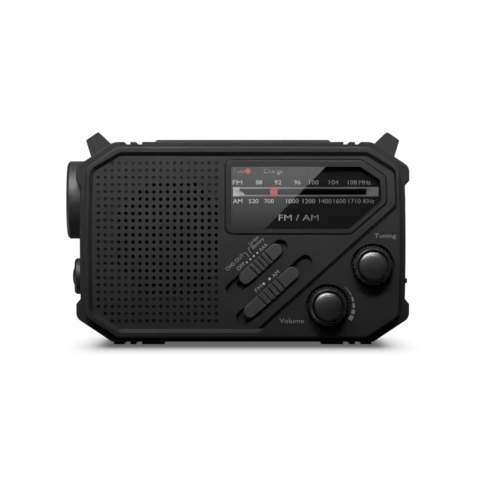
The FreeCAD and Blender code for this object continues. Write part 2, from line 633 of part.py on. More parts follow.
# ---------------------------------------------------------------- knobs
def knurled(name, cx, cz):
    """Knob skirt: a fluted cone with 32 ribs, hollow behind, with a ring recess in front."""
    def star(r_top, r_root, y):
        pts = []
        for k in range(32):
            for frac, r in ((-0.22, r_root), (0.5 - 0.34, r_top), (0.5 + 0.12, r_top)):
                a = 2 * math.pi * (k + frac) / 32
                pts.append(Vector(cx + r * math.cos(a), y, cz + r * math.sin(a)))
        return Part.makePolygon(pts + [pts[0]])
    skirt = Part.makeLoft([star(VAL["knob_base_r"], VAL["knob_base_r"] - 0.75, 1.4),
                           star(VAL["knob_rim_r"] + 0.45, VAL["knob_rim_r"] - 0.2, -5.2)], True, True)
    body = skirt.fuse(Part.makeCone(VAL["knob_rim_r"] - 0.2, VAL["knob_rim_r"] - 0.9, 0.8, Vector(cx, -5.2, cz), Vector(0, -1, 0)))
    body = body.cut(Part.makeCylinder(8.25, 2.2, Vector(cx, -6.2, cz), Vector(0, 1, 0)))
    body = body.cut(Part.makeCylinder(VAL["shaft_r"], 8, Vector(cx, -3.0, cz), Vector(0, 1, 0)))
    return body.removeSplitter()


for a, nm in (("tune", "tuning_knob"), ("vol", "volume_knob")):
    final(raw(nm, knurled(nm, VAL[a + "_x"], VAL[a + "_z"])), nm)
    r = d("knob_cap_r")
    final(turned(nm + "_cap", "y", [(0, -7.0), (1.4, -6.97), (2.8, -6.87), (4.1, -6.68), (5.2, -6.42), (6.1, -6.1), (6.8, -5.72), (7.35, -5.28),
                                    (7.7, -4.85), (r, -4.4), (r, -4.0), (0, -4.0)], d(a + "_x"), 0, d(a + "_z")), nm + "_cap")
# spindle with the cord drum, pressed into the tuning knob
final(turned("tuning_spindle", "y", [(0, -2.9), (d("shaft_r"), -2.9), (d("shaft_r"), 6.0), (d("drum_r") + 1.2, 6.0), (d("drum_r") + 1.2, 7.2),
                                     (d("drum_r"), 7.5), (d("drum_r"), 8.5), (d("drum_r") + 1.2, 8.8), (d("drum_r") + 1.2, 10.0),
                                     (2.0, 10.0), (2.0, 13.0), (0, 13.0)], d("tune_x"), 0, d("tune_z")), "tuning_spindle")
cap_body = cut("tuning_capacitor", box("capacitor_case", d("tune_x") - 10, d("tune_x") + 10, 11.0, 22.0, d("tune_z") - 10, d("tune_z") + 10),
               [cyl("capacitor_bore", "y", d("tune_x"), 10, d("tune_z"), 2.06, 5)])
final(cap_body, "tuning_capacitor")
final(turned("volume_shaft", "y", [(0, -2.9), (d("shaft_r"), -2.9), (d("shaft_r"), 6.2), (2.0, 6.2), (2.0, 10.0), (0, 10.0)],
             d("vol_x"), 0, d("vol_z")), "volume_shaft")
pot = cut("volume_pot", fuse("pot_body", [cyl("pot_can", "y", d("vol_x"), 7.2, d("vol_z"), 8.5, 9.0),
                                          box("pot_wafer", d("vol_x") - 6, d("vol_x") + 6, 12.0, 14.0, d("vol_z"), d("vol_z") + 13)]),
          [cyl("pot_bore", "y", d("vol_x"), 6, d("vol_z"), 2.06, 5)])
final(pot, "volume_pot")

# cord pulleys and the cord loop that carries the pointer
PULLEYS = [("cord_pulley_left", -2.6, 76.4), ("cord_pulley_right", 71.0, 76.4)]
for nm, x, z in PULLEYS:
    final(turned(nm, "y", [(1.05, 6.6), (4.0, 6.6), (3.1, 7.5), (3.1, 8.5), (4.0, 9.4), (1.05, 9.4)], x, 0, z), nm)


def belt(circles):
    """Closed loop of tangent lines and arcs round counter-clockwise circles (x, z, radius)."""
    m = len(circles)
    tang = []
    for i in range(m):
        (x0, z0, r0), (x1, z1, r1) = circles[i], circles[(i + 1) % m]
        dx, dz = x1 - x0, z1 - z0
        ln = math.hypot(dx, dz)
        a = math.atan2(dz, dx) - math.pi / 2 + math.asin((r1 - r0) / ln) * -1
        nx_, nz_ = math.cos(a), math.sin(a)
        tang.append(((x0 + r0 * nx_, z0 + r0 * nz_), (x1 + r1 * nx_, z1 + r1 * nz_)))
    edges = []
    for i in range(m):
        p, q = tang[i]
        edges.append(Part.makeLine(Vector(p[0], 7.6, p[1]), Vector(q[0], 7.6, q[1])))
        cx, cz, r = circles[(i + 1) % m]
        nq = tang[(i + 1) % m][0]
        mid = Vector((q[0] + nq[0]) / 2 - cx, 0, (q[1] + nq[1]) / 2 - cz)
        mid = Vector(cx, 7.6, cz) + mid.normalize() * r
        edges.append(Part.Arc(Vector(q[0], 7.6, q[1]), mid, Vector(nq[0], 7.6, nq[1])).toShape())
    return Part.Face(Part.Wire(edges)).extrude(Vector(0, 0.8, 0))


loop = [(-2.6, 76.4, 3.45), (67.6, 41.0, 4.35), (71.0, 76.4, 3.45)]
loop_out = [(x, z, r + 0.7) for x, z, r in loop]
final(raw("dial_cord", belt(loop_out).cut(belt(loop))), "dial_cord")
bracket = fuse("dial_bracket", [box("bracket_bar", -9.0, 76, 10.4, 11.6, 72.6, 80.4)] +
               [cyl("pulley_pin", "y", x, 6.55, z, 1.0, 4.05) for _, x, z in PULLEYS] +
               [box("bracket_leg", -9.0, -7.2, 5.7, 10.6, 72.6, 80.4), box("bracket_leg", 75.2, 76.6, 5.7, 11.6, 74.0, 80.4)])
final(bracket, "dial_bracket")

# ---------------------------------------------------------------- slide switches
def slider(nm, cx, cz, half, grooves, pitch):
    a = math.radians(ANG)
    blank = obround(nm + "_cap", cx, cz, half, VAL["slider_r"], ANG, d("slider_front"), 3.7)
    stem = obround(nm + "_stem", cx, cz, 2.0, 1.2, ANG, 3.6, 6.0)
    doc.recompute()
    edge = doc.addObject("Part::Chamfer", uid(nm + "_edge"))
    edge.Base = blank
    edge.Edges = [(i + 1, 0.45, 0.45) for i, e in enumerate(blank.Shape.Edges) if e.BoundBox.YMax < VAL["slider_front"] + 0.01]
    cuts = []
    for k in range(grooves):
        off = (k - (grooves - 1) / 2.0) * pitch
        g = doc.addObject("Part::Box", uid(nm + "_groove"))
        g.Length, g.Width, g.Height = 1.15, 1.15, 20
        base = Rotation(Vector(0, 1, 0), -ANG)
        turn = Rotation(Vector(0, 0, 1), 45)
        rot = base.multiply(turn)
        corner = base.multVec(Vector(off, 0, -10)) + rot.multVec(Vector(-0.575, -0.575, 0))
        g.Placement = Placement(Vector(cx, VAL["slider_front"], cz) + corner, rot)
        cuts.append(g)
    return final(cut(nm, fuse(nm + "_solid", [edge, stem]), cuts), nm)


slider("power_slider", 9.36, 41.9, 10.4, 5, 2.6)
slider("band_slider", 14.85, 27.1, 14.65, 5, 3.2)
for nm, cx, cz, half in (("power_switch_body", VAL["power_x"], VAL["power_z"], VAL["power_half"]),
                         ("band_switch_body", VAL["band_x"], VAL["band_z"], VAL["band_half"])):
    shell_ = obround(nm + "_case", cx, cz, half + 0.6, 4.4, ANG, 4.0, 9.5)
    way = obround(nm + "_way", cx, cz, 12.0, 1.55, ANG, 3.5, 6.8)
    final(cut(nm, shell_, [way]), nm)

# ---------------------------------------------------------------- speaker
sx, sz = d("speaker_x"), d("speaker_z")
final(turned("speaker_basket", "y", [(24.2, 4.0), (26.4, 4.0), (26.4, 6.0), (25.4, 7.2), (15.5, 15.2), (15.5, 16.6), (16.0, 16.6), (16.0, 23.4), (0, 23.4),
                                     (0, 15.4), (13.6, 15.0), (24.2, 6.6)], sx, 0, sz), "speaker_basket")
final(turned("speaker_cone", "y", [(0, 9.4), (5.0, 10.6), (8.6, 13.4), (22.8, 4.6), (24.1, 4.6), (24.1, 5.4), (23.2, 5.4), (9.1, 14.6), (8.2, 14.6),
                                   (4.6, 11.6), (0, 10.4)], sx, 0, sz), "speaker_cone")

# ---------------------------------------------------------------- boards and cells
board = cut("main_board", box("board_sheet", -4, 77.0, 25.0, 26.6, 16.5, 91.0),
            [cyl("board_hole", "y", x, 20, z, 3.6, 10) for x, z in SCREWS])
parts_on_board = [box("amp_chip", 10, 24, 26.6, 28.6, 66, 76), box("tuner_chip", 46, 55, 23.2, 25.0, 66, 75),
                  cyl("reservoir_cap", "y", 72, 26.6, 20.5, 4.0, 12.0), box("board_plug", 4, 14, 26.6, 32.6, 82, 88)]
final(fuse("main_board", [board] + parts_on_board), "main_board")
final(cyl("lithium_cell", "x", -61.5, 39.0, 18.0, d("liion_r"), d("liion_len")), "lithium_cell")
cells = []
for k, z in enumerate((35.0, 46.0, 57.0)):
    flip = k == 1
    body_x = -65.0 if not flip else -66.0
    can = cyl("cell_can", "x", body_x, 50.0, z, d("cell_r"), d("cell_len") - 1)
    tip = cyl("cell_tip", "x", -66.0 if not flip else -22.5, 50.0, z, 1.9, 1.0)
    cells.append(fuse("cell", [can, tip]))
final(group("aaa_cells", cells), "aaa_cells")
contacts = [box("contact", -69.0, -66.0, 47.5, 52.5, z - 4, z + 4) for z in (35, 46, 57)]
contacts += [box("contact", -21.5, -18.5, 47.5, 52.5, z - 4, z + 4) for z in (35, 46, 57)]
final(group("battery_contacts", contacts), "battery_contacts")
door_plate = fuse("door_plate", [box("door_sheet", d("door_x0"), d("door_x1"), 56.3, d("depth_case"), d("door_z0"), d("door_z1") - 0.85),
                                 cyl("door_roll", "x", d("door_x0"), 57.15, d("door_z1") - 0.85, 0.85, d("door_x1") - d("door_x0"))])
door_ribs = [box("door_rib", x, x + 1.2, 55.7, 56.4, 34, 58) for x in (-62, -44.4, -26)]
door_tab = box("door_latch", -49.75, -37.75, 57.9, 58.9, 29.0, 32.0)
final(fuse("battery_door", [door_plate, door_tab] + door_ribs), "battery_door")
final(cyl("ferrite_rod", "x", -53.0, 17.0, 91.0, 4.0, 49.0), "ferrite_rod")

# ---------------------------------------------------------------- torch
yt_, zt_ = d("y_part"), d("torch_z")
tf = d("torch_front")
tr = d("torch_r")
final(turned("torch_bezel", "x", [(tf + 1.6, 17.6), (tf, 18.6), (tf + 0.2, tr - 1.2), (tf + 1.4, tr), (-79.3, tr), (-79.3, 17.9), (-76.9, 17.9),
                                  (-76.9, 16.6), (tf + 5.4, 16.6), (tf + 5.4, 17.6)], 0, yt_, zt_), "torch_bezel")
final(turned("torch_lens", "x", [(tf + 2.6, 0), (tf + 2.6, 17.6), (tf + 5.0, 17.6), (tf + 5.0, 0)], 0, yt_, zt_), "torch_lens")
final(turned("torch_reflector", "x", [(tf + 5.0, 15.4), (tf + 5.0, 16.55), (tf + 8.0, 15.8), (tf + 11.5, 12.8), (tf + 13.6, 8.6), (tf + 14.6, 4.2),
                                      (tf + 14.6, 3.2), (tf + 14.0, 3.2), (tf + 13.0, 7.6), (tf + 10.8, 11.8), (tf + 7.6, 14.6)],
             0, yt_, zt_), "torch_reflector")
led_board = fuse("torch_led_board", [box("led_sheet", -76.5, -74.9, 19, 39, 29, 90),
                                     cyl("led_base", "x", -78.3, d("y_part"), d("torch_z"), 2.8, 2.0),
                                     cyl("switch_can", "x", -78.2, d("y_part"), d("push_z"), 3.0, 2.0)])
final(led_board, "torch_led_board")
final(cut("button_collar", turned("collar_blank", "x", [(d("collar_front"), 6.4), (d("collar_front"), d("collar_r") - 1.0), (d("collar_front") + 1.0, d("collar_r")),
                                                        (-80.5, d("collar_r")), (-80.5, 6.25), (d("collar_front") + 0.4, 6.25)], 0, d("y_part"), d("push_z")),
          [cyl("collar_bore", "x", -95, d("y_part"), d("push_z"), 6.2, 30)]), "button_collar")
pf = d("push_front")
final(turned("torch_button", "x", [(pf, 0), (pf + 0.1, 1.8), (pf + 0.4, 3.4), (pf + 0.9, 4.7), (pf + 1.7, 5.6), (pf + 2.6, d("push_r")),
                                   (-81.6, d("push_r")), (-81.6, 2.0), (-79.6, 2.0), (-79.6, 0)], 0, d("y_part"), d("push_z")), "torch_button")

# ---------------------------------------------------------------- port cover and sockets
cx0, cx1 = d("cover_x0"), d("cover_x1")
cover_slab = box("cover_slab", cx0, cx1, d("cover_y0"), d("cover_y1"), d("cover_z0"), d("cover_z1") - 1.2)
cover_roll = cyl("cover_roll", "y", (cx0 + cx1) / 2, d("cover_y0"), d("cover_z1") - 1.2, 1.2, d("cover_y1") - d("cover_y0"))
cover_tab = box("cover_tab", cx1 - 0.5, cx1 + 1.3, 24, 34, 31.7, 34.1)
final(fuse("port_cover", [cover_slab, cover_roll, cover_tab]), "port_cover")
usb = cut("usb_a_socket", box("usb_can", 68.0, 82.4, 26.6, 33.6, d("usb_z") - 6.55, d("usb_z") + 6.55),
          [box("usb_mouth", 71.0, 84, 27.2, 33.0, d("usb_z") - 6.0, d("usb_z") + 6.0)])
usb_full = fuse("usb_a_full", [usb, box("usb_tongue", 70.5, 80.5, 28.0, 29.9, d("usb_z") - 5.4, d("usb_z") + 5.4)])
micro = (cut("micro_usb_socket", box("micro_can", 77.0, 82.4, 26.6, 29.4, d("micro_z") - 3.8, d("micro_z") + 3.8),
          [box("micro_mouth", 78.4, 84, 27.1, 28.95, d("micro_z") - 3.3, d("micro_z") + 3.3)]))
final(group("usb_sockets", [usb_full, micro]), "usb_sockets")
jack_case = fuse("jack_case", [box("jack_block", 67.2, 79.7, 26.6, 32.0, d("jack_z") - 3.2, d("jack_z") + 3.2),
                               cyl("jack_nose", "x", 79.5, d("jack_y"), d("jack_z"), d("jack_r") + 0.85, 3.1)])
final(cut("headphone_jack", jack_case, [cyl("jack_bore", "x", 68.4, d("jack_y"), d("jack_z"), d("jack_r"), 20)]), "headphone_jack")

# ---------------------------------------------------------------- wind-up generator
def gear(teeth, y0, y1, cx, cz, phase, bore, thin=0.16):
    m = VAL["gear_module"]
    rp = m * teeth / 2.0
    rb = rp * math.cos(math.radians(20))
    ra, rf = rp + 0.92 * m, rp - 1.2 * m
    half = math.pi / (2 * teeth) - thin / (2 * rp)

    def inv(r):
        if r <= rb:
            return 0.0
        t = math.sqrt((r / rb) ** 2 - 1)
        return t - math.atan(t)
    pts = []
    for k in range(teeth):
        c = phase + 2 * math.pi * k / teeth
        prof = [(rf, half + inv(rp) - 0.0), (max(rb, rf), half + inv(rp)), (rp, half), (ra, half + inv(rp) - inv(ra))]
        prof = [p for i, p in enumerate(prof) if i == 0 or p[0] > prof[i - 1][0] + 1e-6]
        for r, a in prof:
            pts.append((r, c - a))
        for r, a in reversed(prof):
            pts.append((r, c + a))
    vs = [Vector(cx + r * math.cos(a), y0, cz + r * math.sin(a)) for r, a in pts]
    disc = Part.Face(Part.makePolygon(vs + [vs[0]])).extrude(Vector(0, y1 - y0, 0))
    if bore > 0:
        disc = disc.cut(Part.makeCylinder(bore, y1 - y0 + 2, Vector(cx, y0 - 1, cz), Vector(0, 1, 0)))
    return disc


def mesh_phase(ca, na, pa, cb, nb):
    """Phase of gear b so that one of its gaps faces a tooth of gear a."""
    ang = math.atan2(cb[1] - ca[1], cb[0] - ca[0])
    pitch_a = 2 * math.pi / na
    off = (ang - pa) / pitch_a
    off -= math.floor(off)
    back = ang + math.pi
    pitch_b = 2 * math.pi / nb
    return back + (off + 0.5) * pitch_b


CR = (VAL["crank_x"], VAL["crank_z"])
ID = (48.9, 34.41)
RO = (27.25, 26.35)
pc = 0.0
pi1 = mesh_phase(CR, 60, pc, ID, 18)
pi2 = 0.05
pr = mesh_phase(ID, 48, pi2, RO, 18)
final(raw("crank_gear", gear(60, 42.4, 44.9, CR[0], CR[1], pc, 3.0)), "crank_gear")
idler = gear(18, 42.2, 45.1, ID[0], ID[1], pi1, 0).fuse(gear(48, 38.4, 40.8, ID[0], ID[1], pi2, 0))
idler = idler.fuse(Part.makeCylinder(3.6, 2.0, Vector(ID[0], 40.5, ID[1]), Vector(0, 1, 0)))
idler = idler.cut(Part.makeCylinder(1.56, 20, Vector(ID[0], 30, ID[1]), Vector(0, 1, 0)))
final(raw("idler_gear", idler), "idler_gear")
rotor = gear(18, 38.2, 41.0, RO[0], RO[1], pr, 0).fuse(Part.makeCylinder(1.5, 12.0, Vector(RO[0], 29.4, RO[1]), Vector(0, 1, 0)))
rotor = rotor.fuse(Part.makeCylinder(10.2, 5.4, Vector(RO[0], 30.4, RO[1]), Vector(0, 1, 0)))
final(raw("generator_rotor", rotor), "generator_rotor")
stator = cut("generator_stator", cyl("stator_can", "y", RO[0], 28.6, RO[1], 13.5, 8.6),
             [cyl("stator_bore", "y", RO[0], 29.9, RO[1], 10.7, 6.4), cyl("stator_bush", "y", RO[0], 28, RO[1], 1.56, 12)])
# gearbox plate that carries the generator and the idler's pin
plate = cut("gearbox_plate", box("plate_sheet", 10, 62, 37.2, 37.9, 12.6, 48),
            [cyl("plate_bush", "y", RO[0], 36, RO[1], 1.56, 4)])
final(fuse("generator_frame", [stator, plate, cyl("idler_pin", "y", ID[0], 37.5, ID[1], 1.5, 9.2)]), "generator_frame")

# crank: shaft, hub and forked arm, hanging straight down in its well
hx, hz = d("crank_x"), d("crank_z")
hub = cyl("crank_hub", "y", hx, 49.0, hz, 9.6, 7.6)
shaft = cyl("crank_shaft", "y", hx, 40.0, hz, d("shaft_r"), 9.5)
arm = prism("crank_bar", [(19.4, 52.0), (19.4, 17.6), (36.6, 17.6), (36.6, 52.0)], [3, 4.5, 4.5, 3], 49.0, 55.4)
arm_cut = cut("crank_arm", fuse("crank_solid", [hub, shaft, arm]), [
    prism("grip_window", [(23.3, 42.0), (23.3, 10.0), (32.7, 10.0), (32.7, 42.0)], 0.5, 48, 60),
    cyl("fold_bore", "x", 15, 53.0, d("grip_z"), 1.06, 26)])
final(arm_cut, "crank_arm")
# grip pin: folds on a cross pin in the fork; the grip turns on its straight part
pin = fuse("grip_pin", [cyl("fold_pin", "x", 19.8, 53.0, d("grip_z"), 1.0, 16.4),
                        cyl("pin_eye", "x", 25.0, 53.0, d("grip_z"), 2.9, 6.0),
                        cyl("pin_rod", "z", d("crank_x"), 53.0, d("grip_z"), 1.5, 18.0)])
final(pin, "grip_pin")
grip_blank = turned("grip_blank", "y", [(1.56, 24.8), (2.9, 24.8), (3.6, 25.6), (4.0, 27.5), (3.7, 33.0), (4.0, 38.0), (3.7, 40.2), (2.9, 41.0), (0, 41.0), (0, 40.2),
                                        (1.56, 40.2)], 0, 0, 0)
grip_blank.Placement = Placement(Vector(VAL["crank_x"], 53.0, 0), Rotation(Vector(1, 0, 0), 90))
final(grip_blank, "crank_grip")

# ---------------------------------------------------------------- aerial
ax, ay, az = d("aerial_x"), d("aerial_y"), d("aerial_z")
knuckle = cut("antenna_knuckle", fuse("knuckle_solid", [
    cyl("knuckle_base", "y", ax, 50.35, az, 4.6, 1.2), cyl("knuckle_stub", "y", ax, 46.0, az, 2.0, 5.0),
    common("knuckle_fork", cyl("fork_round", "y", ax, 50.35, az, 4.6, 6.4),
           fuse("fork_cheeks", [box("cheek", ax - 2.7, ax + 2.7, 50.4, 57.4, az + 1.9, az + 4.6),
                                box("cheek", ax - 2.7, ax + 2.7, 50.4, 57.4, az - 4.6, az - 1.9)]))]),
    [cyl("tilt_bore", "z", ax, ay, az - 6, 1.05, 12)])
final(knuckle, "antenna_knuckle")
tongue = fuse("tongue", [cyl("tongue_eye", "z", ax, ay, az - 1.6, 2.2, 3.2),
                         box("tongue_bar", ax - 6.2, ax, ay - 1.9, ay + 1.9, az - 1.6, az + 1.6),
                         cyl("tilt_pin", "z", ax, ay, az - 3.9, 1.0, 7.8),
                         cone("tube_collar", "x", ax - 9.5, ay, az, 3.0, 2.6, 4.4),
                         cyl("tube_outer", "x", ax - 9.5 - d("aerial_len"), ay, az, 3.0, d("aerial_len"))])
tube1 = cut("antenna_tube_outer", tongue, [cyl("tube_bore", "x", -60, ay, az, 2.58, 120)])
final(tube1, "antenna_tube_outer")
tube2 = cut("antenna_tube_middle", cyl("middle_rod", "x", -43.7, ay, az, 2.5, 100), [cyl("middle_bore", "x", -60, ay, az, 1.98, 114)])
final(tube2, "antenna_tube_middle")
final(fuse("antenna_tip_rod", [cyl("inner_rod", "x", -43.9, ay, az, 1.9, 96), cyl("tip_button", "x", -48.4, ay, az, 2.9, 4.5)]), "antenna_tip_rod")

# ---------------------------------------------------------------- checks and export
doc.recompute()
bad = []
for o in doc.Objects:
    if "Invalid" in o.State or "Error" in o.State:
        bad.append("%s %s" % (o.Name, o.State))
names = set()
for label, obj in NODES:
    if obj.Shape.isNull() or not obj.Shape.isValid() or not obj.Shape.Solids:
        bad.append("%s has a null or invalid shape" % label)
    if label in names or len(label) >= 60:
        bad.append("%s is a repeated or long name" % label)
    names.add(label)
if bad:
    raise RuntimeError("failed objects: " + "; ".join(bad))
os.makedirs("parts", exist_ok=True)
total = FreeCAD.BoundBox()
for label, obj in NODES:
    obj.Shape.exportStep("parts/%s.step" % label)
    total.add(obj.Shape.BoundBox)
    print("%-22s solids %2d volume %9.1f" % (label, len(obj.Shape.Solids), obj.Shape.Volume))
print("nodes", len(NODES), "box", total)
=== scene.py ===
import bpy, bmesh, math
from mathutils import Vector, Matrix


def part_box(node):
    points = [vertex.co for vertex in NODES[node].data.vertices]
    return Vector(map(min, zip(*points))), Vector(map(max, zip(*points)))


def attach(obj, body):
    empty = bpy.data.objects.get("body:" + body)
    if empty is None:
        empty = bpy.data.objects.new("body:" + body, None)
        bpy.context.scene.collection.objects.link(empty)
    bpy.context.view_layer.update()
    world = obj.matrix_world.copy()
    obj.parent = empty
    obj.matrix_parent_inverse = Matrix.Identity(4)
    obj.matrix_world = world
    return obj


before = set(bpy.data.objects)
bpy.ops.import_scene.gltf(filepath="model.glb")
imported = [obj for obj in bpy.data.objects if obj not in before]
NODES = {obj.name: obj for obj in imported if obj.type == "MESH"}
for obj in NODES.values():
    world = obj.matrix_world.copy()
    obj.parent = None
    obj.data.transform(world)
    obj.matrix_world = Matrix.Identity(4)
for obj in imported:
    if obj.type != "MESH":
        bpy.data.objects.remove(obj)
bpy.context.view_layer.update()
SC = bpy.context.scene
MM = 0.001

# the drawing frame of the case (mm): x from its centre line, y from the bezel plane, z from the feet
_lo, _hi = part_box("front_housing")
SX = (_lo.x + _hi.x) / 2
SY = _lo.y


def P(x, y, z):
    return Vector((SX + x * MM, SY + y * MM, z * MM))


# ------------------------------------------------------------------ materials
def clear(mat):
    mat.use_nodes = True
    nt = mat.node_tree
    nt.nodes.clear()
    return nt


def link(nt, a, b):
    nt.links.new(a, b)


def node(nt, kind, **kw):
    nd = nt.nodes.new(kind)
    for k, v in kw.items():
        setattr(nd, k, v)
    return nd


def math_node(nt, op, a, b=None, clamp=False):
    m = node(nt, "ShaderNodeMath", operation=op, use_clamp=clamp)
    for i, v in enumerate((a, b)):
        if v is None:
            continue
        if isinstance(v, (int, float)):
            m.inputs[i].default_value = v
        else:
            link(nt, v, m.inputs[i])
    return m.outputs[0]


def map_range(nt, v, a, b, c, e):
    m = node(nt, "ShaderNodeMapRange")
    link(nt, v, m.inputs["Value"])
    m.inputs["From Min"].default_value = a
    m.inputs["From Max"].default_value = b
    m.inputs["To Min"].default_value = c
    m.inputs["To Max"].default_value = e
    return m.outputs["Result"]


def noise(nt, coords, scale, detail=2.0, rough=0.5):
    t = node(nt, "ShaderNodeTexNoise")
    t.inputs["Scale"].default_value = scale
    t.inputs["Detail"].default_value = detail
    t.inputs["Roughness"].default_value = rough
    link(nt, coords, t.inputs["Vector"])
    return t.outputs["Fac"]


def mix_color(nt, fac, a, b):
    m = node(nt, "ShaderNodeMix", data_type="RGBA")
    if isinstance(fac, (int, float)):
        m.inputs["Factor"].default_value = fac
    else:
        link(nt, fac, m.inputs["Factor"])
    for key, v in (("A", a), ("B", b)):
        sock = [s for s in m.inputs if s.name == key and s.type == "RGBA"][0]
        if isinstance(v, (tuple, list)):
            sock.default_value = (v[0], v[1], v[2], 1)
        else:
            link(nt, v, sock)
    return [s for s in m.outputs if s.type == "RGBA"][0]


def moulded(name, base, rough, grain=0.22, bump=0.10, vary=0.10, spec=0.5, edge_highlight=0.35, edge_mm=0.35, coat=0.0, rough_var=0.06, recess_shade=None):
    """Moulded plastic or rubber: spark-eroded grain as a fine bump, slow drift of tone and gloss,
    and edges that are a little smoother from handling, with a painted edge highlight that lightens their colour."""
    m = bpy.data.materials.new(name)
    nt = clear(m)
    out = node(nt, "ShaderNodeOutputMaterial")
    bs = node(nt, "ShaderNodeBsdfPrincipled")
    link(nt, bs.outputs[0], out.inputs["Surface"])
    co = node(nt, "ShaderNodeTexCoord").outputs["Object"]
    fine = noise(nt, co, 1000.0 / grain, 2.0, 0.6)
    slow = noise(nt, co, 38.0, 3.0, 0.55)
    mid = noise(nt, co, 420.0, 2.0, 0.5)
    dark = tuple(c * (1 - vary) for c in base)
    light = tuple(min(1, c * (1 + vary)) for c in base)
    col = mix_color(nt, map_range(nt, slow, 0.3, 0.7, 0, 1), dark, light)
    # painted edge highlight: the Bevel mask lightens the colour along edges towards a lighter tone
    if edge_highlight > 0:
        bev = node(nt, "ShaderNodeBevel", samples=3)
        bev.inputs["Radius"].default_value = edge_mm * MM
        geo = node(nt, "ShaderNodeNewGeometry")
        dot = node(nt, "ShaderNodeVectorMath", operation="DOT_PRODUCT")
        link(nt, bev.outputs[0], dot.inputs[0])
        link(nt, geo.outputs["True Normal"], dot.inputs[1])
        em = map_range(nt, dot.outputs["Value"], 0.995, 0.86, 0, 1)
        em = math_node(nt, "MULTIPLY", em, map_range(nt, mid, 0.35, 0.65, 0.45, 1.0))
        lit = tuple(min(1, c * 2.1 + 0.012) for c in base)
        col = mix_color(nt, math_node(nt, "MULTIPLY", em, edge_highlight), col, lit)
        r = math_node(nt, "SUBTRACT", map_range(nt, mid, 0.3, 0.7, rough - rough_var, rough + rough_var),
                      math_node(nt, "MULTIPLY", em, 0.10 * edge_highlight), True)
    else:
        r = map_range(nt, mid, 0.3, 0.7, rough - rough_var, rough + rough_var)
    if recess_shade:
        # painted shade: surfaces deeper than the panel face, the walls and floors of the blind holes, are darkened with
        # depth, and the throats of the through holes are painted near black
        sp = node(nt, "ShaderNodeSeparateXYZ")
        link(nt, co, sp.inputs[0])
        depth_shade = map_range(nt, sp.outputs["Y"], SY + recess_shade[0] * MM, SY + recess_shade[1] * MM, 0, recess_shade[2])
        col = mix_color(nt, depth_shade, col, tuple(c * 0.15 for c in base))
        throat_shade = map_range(nt, sp.outputs["Y"], SY + (recess_shade[1] + 0.66) * MM, SY + (recess_shade[1] + 0.80) * MM, 0, 0.97)
        col = mix_color(nt, throat_shade, col, (0.001, 0.001, 0.001))
    link(nt, col, bs.inputs["Base Color"])
    link(nt, r, bs.inputs["Roughness"])
    bs.inputs["IOR"].default_value = 1.5
    bs.inputs["Specular IOR Level"].default_value = spec
    if coat:
        bs.inputs["Coat Weight"].default_value = coat
        bs.inputs["Coat Roughness"].default_value = 0.08
    if bump > 0:
        bn = node(nt, "ShaderNodeBump")
        bn.inputs["Strength"].default_value = bump
        bn.inputs["Distance"].default_value = 0.00006
        link(nt, fine, bn.inputs["Height"])
        link(nt, bn.outputs[0], bs.inputs["Normal"])
    return m


def metal(name, base, rough, brushed=None, vary=0.06, scale=260.0):
    m = bpy.data.materials.new(name)
    nt = clear(m)
    out = node(nt, "ShaderNodeOutputMaterial")
    bs = node(nt, "ShaderNodeBsdfPrincipled")
    link(nt, bs.outputs[0], out.inputs["Surface"])
    co = node(nt, "ShaderNodeTexCoord").outputs["Object"]
    if brushed:
        mp = node(nt, "ShaderNodeMapping")
        mp.inputs["Scale"].default_value = brushed
        link(nt, co, mp.inputs["Vector"])
        co2 = mp.outputs[0]
    else:
        co2 = co
    n1 = noise(nt, co2, scale, 4.0, 0.6)
    n2 = noise(nt, co, 60.0, 2.0, 0.5)
    link(nt, mix_color(nt, map_range(nt, n2, 0.3, 0.7, 0, 1), tuple(c * (1 - vary) for c in base), tuple(min(1, c * (1 + vary)) for c in base)),
         bs.inputs["Base Color"])
    bs.inputs["Metallic"].default_value = 1.0
    link(nt, map_range(nt, n1, 0.3, 0.7, max(0.02, rough * 0.75), rough * 1.3), bs.inputs["Roughness"])
    bn = node(nt, "ShaderNodeBump")
    bn.inputs["Strength"].default_value = 0.06
    bn.inputs["Distance"].default_value = 0.00003
    link(nt, n1, bn.inputs["Height"])
    link(nt, bn.outputs[0], bs.inputs["Normal"])
    return m


def window(name, tint, ior_fac, rough, haze=0.0, share=0.06):
    """Clear moulded window: what is behind shows through, and its faces mirror as plastic does."""
    m = bpy.data.materials.new(name)
    nt = clear(m)
    out = node(nt, "ShaderNodeOutputMaterial")
    tr = node(nt, "ShaderNodeBsdfTransparent")
    tr.inputs["Color"].default_value = (*tint, 1)
    gl = node(nt, "ShaderNodeBsdfGlossy")
    gl.inputs["Color"].default_value = (1, 1, 1, 1)
    co = node(nt, "ShaderNodeTexCoord").outputs["Object"]
    smear = noise(nt, co, 60.0, 3.0, 0.6)
    link(nt, map_range(nt, smear, 0.3, 0.7, rough, rough + haze), gl.inputs["Roughness"])
    fr = node(nt, "ShaderNodeFresnel")
    fr.inputs["IOR"].default_value = ior_fac
    mx = node(nt, "ShaderNodeMixShader")
    outer = map_range(nt, fr.outputs[0], 0.04, 1.0, share, 1.0)
    back = node(nt, "ShaderNodeNewGeometry").outputs["Backfacing"]
    fac = math_node(nt, "ADD", math_node(nt, "MULTIPLY", outer, math_node(nt, "SUBTRACT", 1.0, back)), math_node(nt, "MULTIPLY", back, share))
    link(nt, fac, mx.inputs[0])
    link(nt, tr.outputs[0], mx.inputs[1])
    link(nt, gl.outputs[0], mx.inputs[2])
    link(nt, mx.outputs[0], out.inputs["Surface"])
    return m


